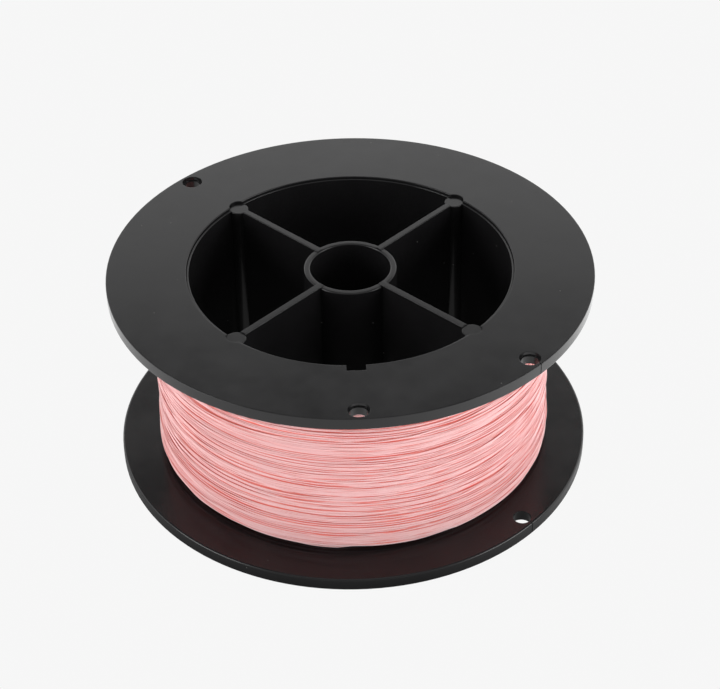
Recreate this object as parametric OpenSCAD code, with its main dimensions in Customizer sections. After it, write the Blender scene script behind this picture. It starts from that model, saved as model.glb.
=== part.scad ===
// Bulk fishing line spool: two flanges on a webbed core, and the line wound between them.
// Millimetres, +Z up. The origin is on the spindle axis, in the face that the spool stands on.
// The line start notch is on the -Y side. Left and right are as seen from that side.

/* [Spool] */
// Height over both flanges
spool_h = 70; // [50:1:110]

/* [Flanges] */
// Outer diameter of both flanges
flange_d = 160; // [158:1:200]
// Thickness of a flange
flange_t = 4.3; // [3.5:0.1:6]
// Radius of the rim's edge on the winding side
rim_round = 0.7; // [0.5:0.1:2.5]
// Radius of the other moulded edges
edge_round = 0.25; // [0.1:0.05:0.35]
// Width of the lip that covers the outer part of the barrel wall's end
lip_w = 1.35; // [0.8:0.05:1.6]
// Thickness of that lip
lip_t = 1.9; // [1.5:0.1:2.5]

/* [Line holes] */
// Diameter of the circle that the rim holes lie on
hole_circle_d = 151.2; // [146:0.1:152]
// Diameter of a rim hole
hole_d = 5.9; // [3:0.1:6]
// Diameter of the wide mouth of a rim hole, on the outer face
hole_mouth_d = 6.9; // [6.2:0.1:7.5]
// Depth of that mouth
hole_mouth_h = 1.5; // [0.5:0.1:2]
// Width of the slit that lets the line into a catch hole from the rim
slit_w = 0.35; // [0.2:0.05:1]
// Width of the line start notch
notch_w = 6.1; // [3:0.1:10]
// Reach of the notch past the outside of the barrel
notch_reach = 1.45; // [0.2:0.05:4]
// Depth of the notch below the inner face of the flange
notch_below = 1; // [0.5:0.1:4]

/* [Core] */
// Outer diameter of the barrel that the line is wound on
barrel_d = 110.4; // [96:0.2:116]
// Wall of the barrel
barrel_wall = 2.15; // [1.8:0.05:3.5]
// Depth of the barrel's ends below the flanges' outer faces
ledge = 0.7; // [0.2:0.05:1]
// Diameter of the spindle bore
bore_d = 26.4; // [12:0.1:40]
// Wall of the bore tube
tube_wall = 2.1; // [1.5:0.1:5]
// Radius of the edges of the bore tube
tube_round = 0.5; // [0.2:0.05:0.6]
// Thickness of a web
web_t = 2.2; // [1.2:0.1:3]
// Depth of the tube's ends below the flanges' outer faces
tube_recess = 0.9; // [0.6:0.05:3]
// Depth of the webs' edges below the flanges' outer faces
web_recess = 0.55; // [0.2:0.05:0.55]
// Diameter of a post at a web's outer end
post_d = 6.5; // [5:0.1:8]
// Reach of a post's end past the outside of the barrel
post_reach = 0.4; // [0.1:0.1:1]
// Depth of a post's end below the flanges' outer faces
post_recess = 0.9; // [0.6:0.05:1.2]

/* [Wound line] */
// Mean outer diameter of the wound line
pack_d = 132.8; // [114:0.2:140]
// Swell and waist of the wound line, to each side of the mean
pack_wave = 0.4; // [0:0.1:1]
// How far the wound line draws in beside a flange
pack_shoulder = 3; // [0:0.1:4]
// Space between the wound line and the plastic
pack_gap = 0.1; // [0.05:0.05:0.5]

/* [Hidden] */

FRONT_RIGHT = -45;
BACK_RIGHT = 45;
BACK_LEFT = 135;
FRONT_LEFT = -135;
FRONT = -90;
corners = [FRONT_RIGHT, BACK_RIGHT, BACK_LEFT, FRONT_LEFT];
upper_holes = [FRONT, FRONT_RIGHT, BACK_LEFT];
lower_holes = [FRONT_RIGHT, BACK_LEFT];

flange_r = flange_d / 2;
barrel_r = barrel_d / 2;
barrel_in_r = barrel_r - barrel_wall;
opening_r = barrel_r - lip_w;
bore_r = bore_d / 2;
tube_r = bore_r + tube_wall;
post_at_r = barrel_r + post_reach - post_d / 2;
pack_len = spool_h - 2 * (flange_t + pack_gap);
pack_sharpness = 30;       // power that sets how suddenly the wound line draws in
pack_wave_len = 40;        // distance between two swells
pack_swell_z = 7;          // height of the lowest swell
pack_steps = 48;
arc_steps = 8;
cut = 1;                   // overshoot of a cutting shape
$fn = 180;

// Points of an arc about [x, y], from angle a to angle b
function arc(x, y, r, a, b) = [
    for (i = [0 : arc_steps]) let (t = a + (b - a) * i / arc_steps) [x + r * cos(t), y + r * sin(t)]
];

// Outer radius of the wound line at a fraction s of its length
function pack_radius(s) = pack_d / 2
    + pack_wave * cos(360 * (flange_t + pack_gap + s * pack_len - pack_swell_z) / pack_wave_len)
    - pack_shoulder * pow(abs(2 * s - 1), pack_sharpness);

// Section of a flange from its outer face at z = 0 to its inner face at z = flange_t
module flange_section() {
    polygon(concat(
        arc(opening_r + edge_round, edge_round, edge_round, 180, 270),
        arc(flange_r - edge_round, edge_round, edge_round, -90, 0),
        arc(flange_r - rim_round, flange_t - rim_round, rim_round, 0, 90),
        [[barrel_r, flange_t], [barrel_r, lip_t], [opening_r, lip_t]]
    ));
}

// Section of a ring whose upper and lower edges are rounded
module ring_section(r_in, r_out, z_low, z_high, round) {
    polygon(concat(
        arc(r_in + round, z_low + round, round, 180, 270),
        arc(r_out - round, z_low + round, round, -90, 0),
        arc(r_out - round, z_high - round, round, 0, 90),
        arc(r_in + round, z_high - round, round, 90, 180)
    ));
}

// Hole through a flange that lies with its outer face at z = 0
module rim_hole(angle) {
    rotate(angle) translate([hole_circle_d / 2, 0, 0]) {
        translate([0, 0, -cut]) cylinder(d = hole_d, h = flange_t + 2 * cut);
        translate([0, 0, -cut]) cylinder(d = hole_mouth_d, h = hole_mouth_h + cut);
    }
}

// Slit from a rim hole out through the rim
module rim_slit(angle) {
    rotate(angle) translate([hole_circle_d / 2, -slit_w / 2, -cut])
        cube([flange_r - hole_circle_d / 2 + cut, slit_w, flange_t + 2 * cut]);
}

// Round seat that the lip of a flange and the barrel's end leave for the end of a post
module post_seat(angle) {
    rotate(angle) translate([post_at_r, 0, -cut]) cylinder(d = post_d, h = lip_t + cut);
}

// Shape that the line start notch takes out of the upper flange and the barrel's end
module start_notch() {
    rotate(FRONT) translate([barrel_in_r - cut, -notch_w / 2, spool_h - flange_t - notch_below])
        cube([barrel_wall + notch_reach + cut, notch_w, flange_t + notch_below + cut]);
}

// One flange with its outer face at z = 0
module flange(holes) {
    difference() {
        rotate_extrude() flange_section();
        for (angle = holes) rim_hole(angle);
        rim_slit(FRONT_RIGHT);
        for (angle = corners) post_seat(angle);
    }
}

module upper_flange() {
    color("#2b2b2c") difference() {
        translate([0, 0, spool_h]) mirror([0, 0, 1]) flange(upper_holes);
        start_notch();
    }
}

module lower_flange() {
    color("#29292a") flange(lower_holes);
}

// Barrel whose wall has a thinner end that stands inside the lip of each flange
module barrel() {
    color("#262627") difference() {
        union() {
            rotate_extrude() ring_section(barrel_in_r, opening_r, ledge, spool_h - ledge, edge_round);
            translate([0, 0, lip_t]) difference() {
                cylinder(r = barrel_r, h = spool_h - 2 * lip_t);
                translate([0, 0, -cut]) cylinder(r = barrel_in_r + edge_round, h = spool_h);
            }
        }
        start_notch();
        for (angle = corners) {
            post_seat(angle);
            translate([0, 0, spool_h]) mirror([0, 0, 1]) post_seat(angle);
        }
    }
}

module bore_tube() {
    color("#303031") rotate_extrude()
        ring_section(bore_r, tube_r, tube_recess, spool_h - tube_recess, tube_round);
}

// Radial wall between the bore tube and a post, with rounded long edges that run over the tube's ends
module web(angle) {
    half = web_t / 2;
    color("#2d2d2e") difference() {
        rotate([90, 0, angle + 90]) linear_extrude(height = post_at_r) polygon(concat(
            arc(half - edge_round, web_recess + edge_round, edge_round, -90, 0),
            arc(half - edge_round, spool_h - web_recess - edge_round, edge_round, 0, 90),
            arc(edge_round - half, spool_h - web_recess - edge_round, edge_round, 90, 180),
            arc(edge_round - half, web_recess + edge_round, edge_round, 180, 270)
        ));
        cylinder(r = bore_r + tube_round, h = spool_h);
        translate([0, 0, tube_recess]) cylinder(r = tube_r, h = spool_h - 2 * tube_recess);
        rotate(angle) translate([post_at_r, 0, 0]) cylinder(d = post_d, h = spool_h);
    }
}

// Post at a web's outer end: it stands inside the barrel, and its round ends cover the wall
module post(angle) {
    color("#333334") difference() {
        rotate(angle) translate([post_at_r, 0, 0]) rotate_extrude() polygon(concat(
            [[0, post_recess]],
            arc(post_d / 2 - edge_round, post_recess + edge_round, edge_round, -90, 0),
            arc(post_d / 2 - edge_round, spool_h - post_recess - edge_round, edge_round, 0, 90),
            [[0, spool_h - post_recess]]
        ));
        translate([0, 0, lip_t]) difference() {
            cylinder(r = barrel_r + post_d, h = spool_h - 2 * lip_t);
            translate([0, 0, -cut]) cylinder(r = barrel_in_r, h = spool_h);
        }
    }
}

module wound_line() {
    color("#e9aba9") translate([0, 0, flange_t + pack_gap]) rotate_extrude() polygon(concat(
        [[barrel_r + pack_gap, 0]],
        [for (i = [0 : pack_steps]) [pack_radius(i / pack_steps), pack_len * i / pack_steps]],
        [[barrel_r + pack_gap, pack_len]]
    ));
}

upper_flange();
lower_flange();
barrel();
bore_tube();
web(FRONT_RIGHT);  // web_front_right
web(BACK_RIGHT);  // web_back_right
web(BACK_LEFT);  // web_back_left
web(FRONT_LEFT);  // web_front_left
post(FRONT_RIGHT);  // post_front_right
post(BACK_RIGHT);  // post_back_right
post(BACK_LEFT);  // post_back_left
post(FRONT_LEFT);  // post_front_left
wound_line();
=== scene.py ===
"""Looks of a bulk fishing line spool: black moulded plastic and a wound pink braid."""

import math

import bpy
import numpy as np
from mathutils import Matrix, Vector


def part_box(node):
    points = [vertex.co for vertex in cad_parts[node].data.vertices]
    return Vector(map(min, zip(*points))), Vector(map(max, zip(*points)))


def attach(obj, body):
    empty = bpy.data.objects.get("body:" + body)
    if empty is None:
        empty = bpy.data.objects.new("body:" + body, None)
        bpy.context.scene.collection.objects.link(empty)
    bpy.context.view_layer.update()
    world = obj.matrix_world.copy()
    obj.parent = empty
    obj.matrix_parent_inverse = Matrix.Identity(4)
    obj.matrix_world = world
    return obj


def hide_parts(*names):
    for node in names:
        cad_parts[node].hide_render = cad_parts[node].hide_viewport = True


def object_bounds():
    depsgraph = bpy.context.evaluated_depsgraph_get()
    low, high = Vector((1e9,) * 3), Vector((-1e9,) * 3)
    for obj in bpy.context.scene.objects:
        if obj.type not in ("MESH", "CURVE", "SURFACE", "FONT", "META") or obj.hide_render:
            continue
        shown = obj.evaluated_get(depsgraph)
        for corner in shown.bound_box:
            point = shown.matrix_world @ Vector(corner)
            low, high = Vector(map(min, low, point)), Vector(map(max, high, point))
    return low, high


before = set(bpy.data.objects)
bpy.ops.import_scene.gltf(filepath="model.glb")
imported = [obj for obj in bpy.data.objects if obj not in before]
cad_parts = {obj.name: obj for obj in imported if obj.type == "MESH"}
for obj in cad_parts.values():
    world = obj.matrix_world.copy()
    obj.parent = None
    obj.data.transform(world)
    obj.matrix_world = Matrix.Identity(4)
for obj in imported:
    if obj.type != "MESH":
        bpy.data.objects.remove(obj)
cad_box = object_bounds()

MM = 0.001
TURN = 2 * math.pi
SEED = 20

# The camera, as angles and a distance from the middle of the spool
CAM_DISTANCE = 652.7 * MM
CAM_ELEVATION = math.radians(37.355)
CAM_TURN = math.radians(-1.3)
CAM_PAN = math.radians(-0.246)
CAM_TILT = math.radians(0.133)
CAM_ROLL = math.radians(-1.138)
CAM_LENS = 96.174
CAM_SENSOR = 36.0

# The line
LINE_W = 0.40            # width of the flattened braid, mm
LINE_H = 0.34            # its height, mm
PASSES = 8               # passes of the winder that are laid
SHOWN_PASSES = 2         # the last of them, which are made as strands
GROOVE = 0.40            # width of a groove between two bands of turns, mm
NARROW = 0.9             # widest groove in which the colour deepens, mm
RETURN_PITCH = 8.0       # advance in one turn of the last, quick pass, mm
STEPS = 288              # points in one turn
SIDES = 6                # sides of a strand
BRAID_PITCH = 0.9        # length in which a yarn repeats along the braid, mm
BRAID_YARNS = 4          # yarns that wind each way round the braid
LONGEST_PIECE = 13000    # points in one mesh of line
GRID = 0.04              # step of the height map along the axis, mm
SLIP = 0.08              # furthest that a strand slips down sideways, mm
SLACK = 1.01             # distance of touching turns, in strand widths
BAND_DRIFT = 0.42        # widest groove in which the colour deepens as painted shade, mm
BAND_LEVEL = 0.55        # level of the drift above which a groove opens
BAND_SHARPNESS = 16      # how suddenly it opens
UNDER_DEPTH = 1.2        # depth mark of the layers under the strands, mm, which gives them the deepest painted groove shade
UNDER_STEPS = 180        # points round the ring of those layers
UNDER_LEVELS = 80        # points up its side

# The stage. Brightness 1 is the table's own where no other value is given
TABLE_HALF = 3.0         # half of the table's side, m
TABLE_TONE = 0.925       # colour of the table
FOOT_LIGHT = 0.22        # light that the table gives off beside the spool: painted contact shadow
OPEN_LIGHT = 1.3         # light that it gives off past FOOT_REACH
FOOT_REACH = 35 * MM
RIGHT_LIGHT = 0.55       # light that is added to both towards the right: painted pool of light
RIGHT_FROM = 0.02        # where that begins and where it is whole, m right of the spindle
RIGHT_TO = 0.12
HOLLOW_GLOW = 0.40       # painted light: glow that the table gives off inside the hollow core, which lies in the spool's shade
HOLLOW_SEEN = 0.004      # painted shade: what the eye sees of the table there
EDGE_WIDTH = 2 * MM      # width in which the hollow's tone goes into the table's
WORLD_STRENGTH = 1.6
WORLD_BANDS = (          # sine of the elevation, and tone
    (0.50, 1.0),
    (0.56, 0.82),
    (0.61, 0.17),
    (0.66, 0.15),
)
FRONT_TONE = 0.20        # part of the world's light that is left in front
SOFTBOXES = (            # name, place, width and height in m, radiance
    ("overhead", (0, -0.1, 1.1), 0.7, 0.7, 0.9),
    ("front_strip", (0, -0.75, 0.85), 1.8, 0.35, 0.9),
    ("side_left", (-1.2, -0.5, 0.45), 0.8, 0.6, 5.4),
    ("side_right", (1.2, -0.5, 0.45), 0.8, 0.6, 6.0),
)
AIM = (0, 0, 0.03)       # point that the softboxes face, m


def ring_angles(steps):
    return np.arange(steps) * TURN / steps


# ---------------------------------------------------------------- materials

class Nodes:
    """A material's node tree, with short calls to add and join nodes."""

    def __init__(self, name):
        self.mat = bpy.data.materials.new(name)
        self.mat.use_nodes = True
        self.tree = self.mat.node_tree
        self.shader = self.tree.nodes["Principled BSDF"]

    def add(self, kind, **values):
        node = self.tree.nodes.new("ShaderNode" + kind)
        for key, value in values.items():
            if hasattr(node, key):
                setattr(node, key, value)
            else:
                node.inputs[key.replace("_", " ").title()].default_value = value
        return node

    def join(self, out, socket):
        self.tree.links.new(out, socket)

    def math(self, kind, a, b=None):
        node = self.add("Math", operation=kind)
        for socket, value in zip(node.inputs, (a, b)):
            if isinstance(value, bpy.types.NodeSocket):
                self.join(value, socket)
            elif value is not None:
                socket.default_value = value
        return node.outputs[0]

    def noise(self, coords, scale, detail=3.0, roughness=0.5):
        node = self.add("TexNoise", scale=scale, detail=detail, roughness=roughness)
        self.join(coords, node.inputs["Vector"])
        return node.outputs["Fac"]

    def ramp(self, value, stops):
        node = self.add("ValToRGB")
        ramp = node.color_ramp
        ramp.elements[0].position, ramp.elements[0].color = stops[0][0], stops[0][1]
        ramp.elements[1].position, ramp.elements[1].color = stops[-1][0], stops[-1][1]
        for place, colour in stops[1:-1]:
            ramp.elements.new(place).color = colour
        self.join(value, node.inputs[0])
        return node.outputs[0]

    def blend(self, factor, colour_a, colour_b):
        node = self.add("Mix", data_type="RGBA")
        factor_in, a_in, b_in = node.inputs[0], node.inputs[6], node.inputs[7]
        self.join(factor, factor_in)
        for socket, value in ((a_in, colour_a), (b_in, colour_b)):
            if isinstance(value, bpy.types.NodeSocket):
                self.join(value, socket)
            else:
                socket.default_value = value
        return node.outputs[2]

    def channel(self, colour):
        node = self.add("SeparateColor")
        self.join(colour, node.inputs[0])
        return node.outputs[0]

    def span(self, value, low, high, to_low, to_high):
        node = self.add("MapRange")
        self.join(value, node.inputs["Value"])
        set_span(node, low, high, to_low, to_high)
        return node.outputs[0]

    def bump(self, height, strength, distance, normal=None):
        node = self.add("Bump")
        node.inputs["Strength"].default_value = strength
        node.inputs["Distance"].default_value = distance
        self.join(height, node.inputs["Height"])
        if normal is not None:
            self.join(normal, node.inputs["Normal"])
        return node.outputs[0]


def set_span(node, low, high, to_low, to_high):
    """Sets the ends of a MapRange node."""
    names = ("From Min", "From Max", "To Min", "To Max")
    for name, number in zip(names, (low, high, to_low, to_high)):
        node.inputs[name].default_value = number


def grey(v):
    return (v, v, v, 1.0)


def black_plastic():
    """Glossy black moulding: slight waves and smudges, fine grain, soft edges and a little dust."""
    n = Nodes("black_plastic")
    coords = n.add("TexCoord").outputs["Object"]
    clouds = n.noise(coords, 38.0, 3.0, 0.6)
    smudges = n.noise(coords, 130.0, 4.0, 0.65)
    grain = n.noise(coords, 2200.0, 2.0, 0.6)
    dust = dust_specks(n, coords)
    tone = n.ramp(clouds, [
        (0.3, (0.0064, 0.0062, 0.0066, 1)),
        (0.7, (0.0084, 0.0082, 0.0086, 1)),
    ])
    n.join(n.blend(dust, tone, (0.11, 0.11, 0.10, 1)), n.shader.inputs["Base Color"])
    polish = n.span(clouds, 0.3, 0.7, 0.18, 0.24)
    rough = n.math("ADD", polish, n.span(smudges, 0.35, 0.65, -0.02, 0.03))
    n.join(n.math("ADD", rough, n.math("MULTIPLY", dust, 0.3)), n.shader.inputs["Roughness"])
    n.shader.inputs["IOR"].default_value = 1.40
    edges = n.add("Bevel", samples=6)
    edges.inputs["Radius"].default_value = 0.15 * MM
    waves = n.bump(clouds, 1.0, 0.030 * MM, edges.outputs[0])
    n.join(n.bump(grain, 0.08, 0.02 * MM, waves), n.shader.inputs["Normal"])
    return n.mat


def dust_specks(n, coords):
    """Sparse specks about 0.2 mm across: 1 in a speck and 0 elsewhere."""
    cells = n.add("TexVoronoi", scale=300.0)
    n.join(coords, cells.inputs["Vector"])
    spot = n.span(cells.outputs["Distance"], 0.03, 0.07, 1.0, 0.0)
    chosen = n.math("LESS_THAN", n.channel(cells.outputs["Color"]), 0.10)
    return n.math("MULTIPLY", spot, chosen)


def braided_line():
    """Pink braid, pale on the crests and coral in the grooves. The coral is painted shade for the light
    that passes through the strands and bounces between them, and it deepens with the depth below the
    crests.
    """
    n = Nodes("braided_line")
    coords = n.add("TexCoord").outputs["Object"]
    depth = n.add("Attribute", attribute_name="depth").outputs["Fac"]
    patches = n.noise(coords, 60.0, 3.0, 0.6)
    # painted shade: the colour goes from pale to coral with the depth below the crests; the patches add a
    # little random tone
    groove_shade_and_patches = n.math("ADD", depth, n.span(patches, 0.3, 0.7, -0.02, 0.02))
    tone = n.ramp(groove_shade_and_patches, [
        (0.05, (0.87, 0.50, 0.50, 1)),
        (0.12, (0.86, 0.40, 0.39, 1)),
        (0.20, (0.85, 0.25, 0.22, 1)),
        (0.35, (0.85, 0.18, 0.14, 1)),
    ])
    n.join(tone, n.shader.inputs["Base Color"])
    n.shader.inputs["Roughness"].default_value = 0.62
    n.shader.inputs["IOR"].default_value = 1.5
    n.shader.inputs["Sheen Weight"].default_value = 1.0
    n.shader.inputs["Sheen Roughness"].default_value = 0.35
    n.shader.inputs["Sheen Tint"].default_value = (1.0, 0.92, 0.92, 1)
    n.join(n.bump(braid_relief(n), 0.6, 0.02 * MM), n.shader.inputs["Normal"])
    return n.mat


def braid_relief(n):
    """Height of the braid: two sets of yarns that wind round the strand in opposite ways."""
    along = n.add("Attribute", attribute_name="along").outputs["Fac"]
    around = n.add("Attribute", attribute_name="around").outputs["Fac"]
    turns = n.math("MULTIPLY", along, TURN / BRAID_PITCH)
    twist = n.math("MULTIPLY", around, BRAID_YARNS)
    right = n.math("SINE", n.math("ADD", turns, twist))
    left = n.math("SINE", n.math("SUBTRACT", turns, twist))
    return n.math("MAXIMUM", right, left)


def floor_surface(footprint, hollow):
    """Pale table: even to the eye except in the hollow core, which is painted dark. The light it gives off
    has a painted contact shadow beside the spool and a painted pool of light towards the right.
    """
    n = Nodes("pale_table")
    n.tree.nodes.remove(n.shader)
    coords = n.add("TexCoord").outputs["Object"]
    away = n.add("VectorMath", operation="LENGTH")
    n.join(coords, away.inputs[0])
    distance = away.outputs["Value"]
    across = n.add("SeparateXYZ")
    n.join(coords, across.inputs[0])
    outside = n.span(distance, hollow, hollow + EDGE_WIDTH, 0.0, 1.0)
    inside = n.math("SUBTRACT", 1.0, outside)
    # painted contact shadow in the table's light beside the spool, and a painted pool of light to the
    # right; the eye sees the table evenly bright
    foot = n.span(distance, footprint, footprint + FOOT_REACH, FOOT_LIGHT, OPEN_LIGHT)
    right = n.span(across.outputs["X"], RIGHT_FROM, RIGHT_TO, 0.0, RIGHT_LIGHT)
    light = n.math("ADD", foot, right)
    seen = n.add("LightPath").outputs["Is Camera Ray"]
    unseen = n.math("SUBTRACT", 1.0, seen)
    bright = n.math("ADD", seen, n.math("MULTIPLY", unseen, light))
    # painted light and shade in the hollow core: a glow that lights the inside of the spool, and near black
    # to the eye
    glow = n.math("MULTIPLY", inside, n.span(seen, 0.0, 1.0, HOLLOW_GLOW, HOLLOW_SEEN))
    emit = n.add("Emission")
    emit.inputs["Color"].default_value = grey(TABLE_TONE)
    n.join(n.math("ADD", n.math("MULTIPLY", outside, bright), glow), emit.inputs["Strength"])
    n.join(emit.outputs[0], n.tree.nodes["Material Output"].inputs["Surface"])
    return n.mat


# ---------------------------------------------------------------- the wound line

def line_outline():
    """Radius of the CAD line pack at each height, in mm, read from its own mesh."""
    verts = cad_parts["wound_line"].data.vertices
    co = np.array([v.co for v in verts], float) / MM
    radius = np.hypot(co[:, 0], co[:, 1])
    outer = radius > radius.min() + 1.0
    heights = np.round(co[outer, 2], 3)
    levels = np.unique(heights)
    return levels, np.array([radius[outer][heights == z].max() for z in levels])


def bell_curve(width):
    """Weights that smooth over width points, and their reach to each side."""
    reach = int(3 * width) + 1
    bell = np.exp(-0.5 * (np.arange(-reach, reach + 1) / width) ** 2)
    return bell / bell.sum(), reach


def soft_noise(rng, count, width):
    """Random curve of unit spread, smoothed over width points."""
    bell, reach = bell_curve(width)
    raw = rng.standard_normal(count + 2 * reach)
    smooth = np.convolve(raw, bell, "same")[reach:reach + count]
    return smooth / max(smooth.std(), 1e-9)


def smooth_path(values, width):
    bell, reach = bell_curve(width)
    padded = np.pad(values, reach, mode="edge")
    return np.convolve(padded, bell, "same")[reach:-reach]


def taut(phi, radius, mean_radius):
    """The line under tension: it spans hollows in a straight line and rests only on what stands out."""
    lift = radius - mean_radius * phi ** 2 / 2
    keep = []
    for i in range(len(phi)):
        while len(keep) > 1:
            a, b = keep[-2], keep[-1]
            if (lift[b] - lift[a]) * (phi[i] - phi[a]) <= (lift[i] - lift[a]) * (phi[b] - phi[a]):
                keep.pop()
            else:
                break
        keep.append(i)
    return np.interp(phi, phi[keep], lift[keep]) + mean_radius * phi ** 2 / 2


class HeightMap:
    """How high the line is piled, at each angle and height on the spool."""

    def __init__(self, low, high, outline):
        self.low = low
        self.cells = int((high - low) / GRID) + 1
        z = low + GRID * np.arange(self.cells)
        self.high = np.tile(np.interp(z, *outline), (STEPS, 1))
        self.reach = int(LINE_W / 2 / GRID)

    def section(self, z):
        """For each place: the cells under the strand and the strand's half height over them."""
        middle = np.rint((z - self.low) / GRID).astype(int)
        offsets = np.arange(-self.reach, self.reach + 1)
        cells = np.clip(middle[:, None] + offsets, 0, self.cells - 1)
        away = (self.low + GRID * cells - z[:, None]) / (LINE_W / 2)
        half = LINE_H / 2 * np.sqrt(np.clip(1 - away ** 2, 0, None))
        return cells, np.where(np.abs(away) < 1, half, -9.0)

    def rest(self, step, z):
        cells, half = self.section(z)
        return (self.high[step[:, None], cells] + half).max(1)

    def add(self, step, z, radius):
        cells, half = self.section(z)
        rows = np.repeat(step[:, None], cells.shape[1], 1)
        np.maximum.at(self.high, (rows, cells), radius[:, None] + half)


def slide(pile, step, z, reach):
    """Lets the strand slip a little way down into the hollow beside it."""
    shifts = np.linspace(-reach, reach, 7)
    cost = np.array([pile.rest(step, z + s) / LINE_H + (s / 0.3) ** 2 for s in shifts])
    weight = np.exp(-(cost - cost.min(0)) * 4)
    slip = (weight * shifts[:, None]).sum(0) / weight.sum(0)
    return z + smooth_path(slip, STEPS * 0.02)


def turn_spacing(rng, count):
    """Distance from each point to the turn beside it: turns touch in bands, with a groove between bands."""
    drift = soft_noise(rng, count, STEPS * BAND_DRIFT)
    opening = 1 / (1 + np.exp(-BAND_SHARPNESS * (drift - BAND_LEVEL)))
    return LINE_W * SLACK + GROOVE * opening + 0.012 * soft_noise(rng, count, STEPS * 0.05)


def slow_pass(rng, start, low, high, way):
    """Height of the line from start until it reaches the far flange, turn beside turn."""
    count = STEPS * int((high - low) / LINE_W + 2)
    spacing = turn_spacing(rng, count)
    z = np.empty(count)
    z[:STEPS] = start + way * spacing[0] * np.arange(STEPS) / STEPS
    for k in range(STEPS, count, STEPS):
        z[k:k + STEPS] = z[k - STEPS:k] + way * spacing[k - STEPS:k]
    z += 0.015 * soft_noise(rng, count, STEPS * 0.06)
    over = z > high if way > 0 else z < low
    return z[:int(np.argmax(over))] if over.any() else z


def quick_pass(rng, start, low, high, way):
    end = high if way > 0 else low
    count = int(abs(end - start) / RETURN_PITCH * STEPS)
    return np.linspace(start, end, count) + 0.4 * soft_noise(rng, count, STEPS * 0.35)


def wind():
    """Lays the line pass by pass. Returns each pass's steps, heights and radii, and the pile."""
    rng = np.random.default_rng(SEED)
    outline = line_outline()
    low, high = outline[0][0] + LINE_W / 2, outline[0][-1] - LINE_W / 2
    pile = HeightMap(outline[0][0], outline[0][-1], outline)
    passes = []
    start_step, start_z = 0, low
    for number in range(PASSES + 1):
        way = 1 if number % 2 == 0 else -1
        make = slow_pass if number < PASSES else quick_pass
        z = np.clip(make(rng, start_z, low, high, way), low, high)
        step = (start_step + np.arange(len(z))) % STEPS
        z = np.clip(slide(pile, step, z, SLIP), low, high)
        phi = np.arange(len(z)) * TURN / STEPS
        radius = taut(phi, pile.rest(step, z), outline[1].mean())
        pile.add(step, z, radius)
        passes.append((step, z, radius))
        start_step, start_z = (step[-1] + 1) % STEPS, z[-1]
    cells = pile.low + GRID * np.arange(pile.cells)
    proud = pile.high - np.interp(cells, *outline)
    middle = slice(pile.cells // 6, -pile.cells // 6)
    drop = np.percentile(proud[:, middle], 80)
    pile.high -= drop
    return [(step, z, radius - drop) for step, z, radius in passes], pile


def tube_mesh(name, step, z, radius, ridge):
    """A closed strand along the path, in metres. depth is how far each point lies below the crests, and it
    sets the strand's painted groove shade.
    """
    angle = step * TURN / STEPS
    around = ring_angles(SIDES)
    r = radius[:, None] + LINE_H / 2 * np.cos(around)
    up = z[:, None] + LINE_W / 2 * np.sin(around)
    co = np.stack([r * np.cos(angle)[:, None], r * np.sin(angle)[:, None], up], 2) * MM
    count = len(z)
    base = np.arange(count - 1)[:, None] * SIDES + np.arange(SIDES)
    side = np.roll(np.arange(SIDES), -1)
    right = np.arange(count - 1)[:, None] * SIDES + side
    quads = np.stack([base, base + SIDES, right + SIDES, right], 2).reshape(-1, 4)
    ends = [list(range(SIDES)), [(count - 1) * SIDES + i for i in reversed(range(SIDES))]]
    mesh = bpy.data.meshes.new(name)
    mesh.vertices.add(count * SIDES)
    mesh.vertices.foreach_set("co", co.reshape(-1))
    loops = np.concatenate([quads.reshape(-1), np.array(ends).reshape(-1)])
    mesh.loops.add(len(loops))
    mesh.loops.foreach_set("vertex_index", loops)
    starts = np.concatenate([np.arange(len(quads)) * 4, len(quads) * 4 + np.arange(2) * SIDES])
    mesh.polygons.add(len(starts))
    mesh.polygons.foreach_set("loop_start", starts)
    mesh.update(calc_edges=True)
    mesh.validate()
    mesh.polygons.foreach_set("use_smooth", np.ones(len(starts), bool))
    shape = (count, SIDES)
    # painted shade: the depth below the crests picks the coral groove colour
    set_marks(mesh, "depth", np.clip(ridge.at(step, z)[:, None] - r, 0, None))
    length = np.arange(count) * radius.mean() * TURN / STEPS
    set_marks(mesh, "along", np.broadcast_to(length[:, None], shape))
    set_marks(mesh, "around", np.broadcast_to((around + math.pi) % TURN - math.pi, shape))
    return mesh


def set_marks(mesh, name, values):
    mark = mesh.attributes.new(name, "FLOAT", "POINT")
    mark.data.foreach_set("value", np.ascontiguousarray(values, np.float32).reshape(-1))


class Crests:
    """Height of the pile with its narrow grooves filled up to the crests beside them. The painted groove
    shade is measured down from it.
    """

    def __init__(self, pile):
        self.pile = pile
        reach = int(NARROW / 2 / GRID)
        filled = -maximum_nearby(-maximum_nearby(pile.high, reach), reach)
        self.high = blur(filled, 2)

    def at(self, step, z):
        cell = np.clip(np.rint((z - self.pile.low) / GRID).astype(int), 0, self.pile.cells - 1)
        return self.high[step, cell]


def maximum_nearby(values, reach):
    """The largest value within reach cells along each row."""
    best = values.copy()
    for shift in range(1, reach + 1):
        for way in (-shift, shift):
            best = np.maximum(best, np.roll(values, way, 1))
    return best


def blur(values, width):
    """Each row smoothed over width cells."""
    bell, reach = bell_curve(width)
    padded = np.pad(values, [(0, 0), (reach, reach)], mode="edge")
    return np.apply_along_axis(lambda row: np.convolve(row, bell, "valid"), 1, padded)


def add_object(name, mesh, material):
    obj = bpy.data.objects.new(name, mesh)
    bpy.context.scene.collection.objects.link(obj)
    obj.data.materials.append(material)
    return obj


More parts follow.
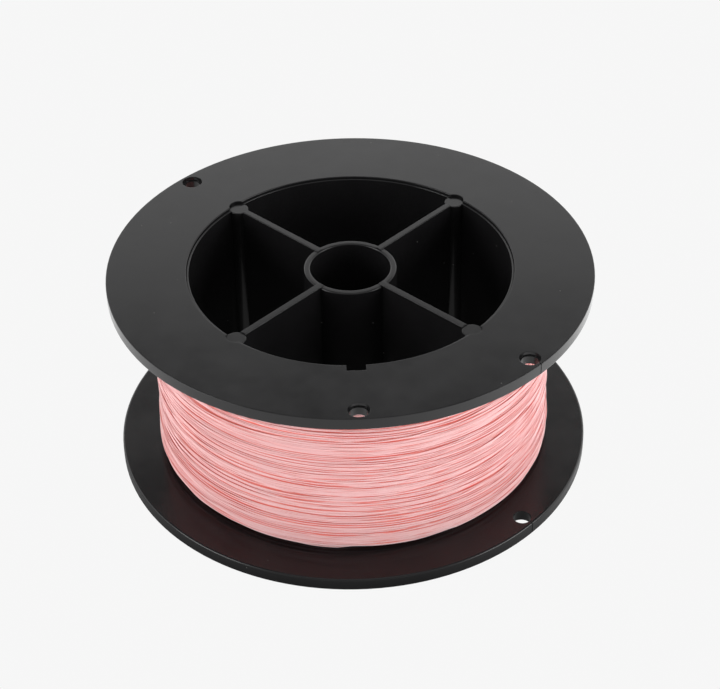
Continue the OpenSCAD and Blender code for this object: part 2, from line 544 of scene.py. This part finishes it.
def build_line(material):
    """The outer passes as strands of line, and one ring for the layers under them."""
    passes, pile = wind()
    crests = Crests(pile)
    shown = passes[PASSES - SHOWN_PASSES:]
    for number, (step, z, radius) in enumerate(shown):
        for part, piece in enumerate(stretches(len(z))):
            name = f"line_pass_{number + 1}_part_{part + 1}"
            finish_line_piece(name, tube_mesh(name, step[piece], z[piece], radius[piece], crests), material)
    build_under_layers(material, shown)


def stretches(count):
    """Slices of a pass, each short enough for one mesh, that share their end points."""
    parts = math.ceil(count / LONGEST_PIECE)
    edges = [round(i * (count - 1) / parts) for i in range(parts + 1)]
    return [slice(a, b + 1) for a, b in zip(edges, edges[1:])]


def finish_line_piece(name, mesh, material):
    obj = add_object(name, mesh, material)
    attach(obj, "root")
    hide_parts("wound_line")


def build_under_layers(material, shown):
    """The layers under the strands, as one ring that fills the hollows between them, painted in the deepest
    groove shade.
    """
    levels, radius = line_outline()
    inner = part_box("barrel")[1].x / MM
    sunk = np.concatenate([r - np.interp(z, levels, radius) for _, z, r in shown])
    lowest = np.percentile(sunk, 12)
    z = np.linspace(levels[0], levels[-1], UNDER_LEVELS)
    edge = np.interp(z, levels, radius) + lowest
    profile = [(inner, levels[0])] + list(zip(edge, z)) + [(inner, levels[-1])]
    angle = ring_angles(UNDER_STEPS)
    co = np.array([[(r * math.cos(a), r * math.sin(a), h) for r, h in profile] for a in angle]) * MM
    count = len(profile)
    faces = []
    for i in range(UNDER_STEPS):
        for k in range(count):
            j, m = (i + 1) % UNDER_STEPS, (k + 1) % count
            faces.append((i * count + k, j * count + k, j * count + m, i * count + m))
    mesh = bpy.data.meshes.new("line_under_layers")
    mesh.from_pydata(co.reshape(-1, 3).tolist(), [], faces)
    mesh.polygons.foreach_set("use_smooth", np.ones(len(faces), bool))
    # painted shade: the whole ring takes the deepest coral of the grooves
    set_marks(mesh, "depth", np.full(len(co) * count, UNDER_DEPTH))
    finish_line_piece("line_under_layers", mesh, material)


# ---------------------------------------------------------------- stage

def add_camera():
    data = bpy.data.cameras.new("camera")
    data.lens = CAM_LENS
    data.sensor_width = CAM_SENSOR
    data.clip_end = 50
    camera = bpy.data.objects.new("camera", data)
    bpy.context.scene.collection.objects.link(camera)
    bpy.context.scene.camera = camera
    low, high = cad_box
    target = (Vector(low) + Vector(high)) / 2
    turn = Matrix.Rotation(CAM_TURN, 3, "Z")
    back = turn @ Vector((0, -math.cos(CAM_ELEVATION), math.sin(CAM_ELEVATION)))
    right = turn @ Vector((1, 0, 0))
    up = right.cross(-back)
    ahead = (-back - math.tan(CAM_PAN) * right + math.tan(CAM_TILT) * up).normalized()
    side = ahead.cross(up).normalized()
    top = side.cross(ahead)
    x_axis = math.cos(CAM_ROLL) * side + math.sin(CAM_ROLL) * top
    y_axis = -math.sin(CAM_ROLL) * side + math.cos(CAM_ROLL) * top
    place = target + back * CAM_DISTANCE
    rotation = Matrix((x_axis, y_axis, -ahead)).transposed()
    camera.matrix_world = Matrix.Translation(place) @ rotation.to_4x4()


def add_softbox(name, place, aim, width, height, radiance):
    data = bpy.data.lights.new(name, "AREA")
    data.shape = "RECTANGLE"
    data.size, data.size_y = width, height
    data.energy = radiance * width * height * math.pi
    light = bpy.data.objects.new(name, data)
    bpy.context.scene.collection.objects.link(light)
    direction = Vector(aim) - Vector(place)
    light.rotation_euler = direction.to_track_quat("-Z", "Y").to_euler()
    light.location = place
    light.visible_camera = False


def add_world():
    """Light from all round: bright low down, dark above, and dimmer in front."""
    world = bpy.data.worlds.new("studio")
    bpy.context.scene.world = world
    world.use_nodes = True
    tree = world.node_tree
    back = tree.nodes["Background"]
    coords = tree.nodes.new("ShaderNodeTexCoord")
    split = tree.nodes.new("ShaderNodeSeparateXYZ")
    tree.links.new(coords.outputs["Generated"], split.inputs[0])
    ramp = tree.nodes.new("ShaderNodeValToRGB")
    stops = ramp.color_ramp.elements
    stops[0].position, stops[0].color = WORLD_BANDS[0][0], grey(WORLD_BANDS[0][1])
    stops[1].position, stops[1].color = WORLD_BANDS[-1][0], grey(WORLD_BANDS[-1][1])
    for height, tone in WORLD_BANDS[1:-1]:
        stops.new(height).color = grey(tone)
    tree.links.new(split.outputs["Z"], ramp.inputs[0])
    front = tree.nodes.new("ShaderNodeMapRange")
    tree.links.new(split.outputs["Y"], front.inputs["Value"])
    set_span(front, -0.9, 0.1, FRONT_TONE, 1.0)
    dim = tree.nodes.new("ShaderNodeVectorMath")
    dim.operation = "SCALE"
    tree.links.new(ramp.outputs[0], dim.inputs[0])
    tree.links.new(front.outputs[0], dim.inputs["Scale"])
    tree.links.new(dim.outputs[0], back.inputs["Color"])
    back.inputs["Strength"].default_value = WORLD_STRENGTH


def add_table():
    corners = [(-1, -1), (1, -1), (1, 1), (-1, 1)]
    mesh = bpy.data.meshes.new("table")
    mesh.from_pydata([(x * TABLE_HALF, y * TABLE_HALF, 0) for x, y in corners], [], [(0, 1, 2, 3)])
    table = add_object("table", mesh, floor_surface(cad_box[1][0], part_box("barrel")[1].x))


def add_stage():
    add_table()
    add_world()
    for name, place, width, height, radiance in SOFTBOXES:
        add_softbox(name, place, AIM, width, height, radiance)
    view = bpy.context.scene.view_settings
    view.view_transform = "Standard"
    view.look = "None"


add_camera()
plastic = black_plastic()
for node_name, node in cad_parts.items():
    if node_name != "wound_line":
        node.data.materials.clear()
        node.data.materials.append(plastic)
build_line(braided_line())
add_stage()
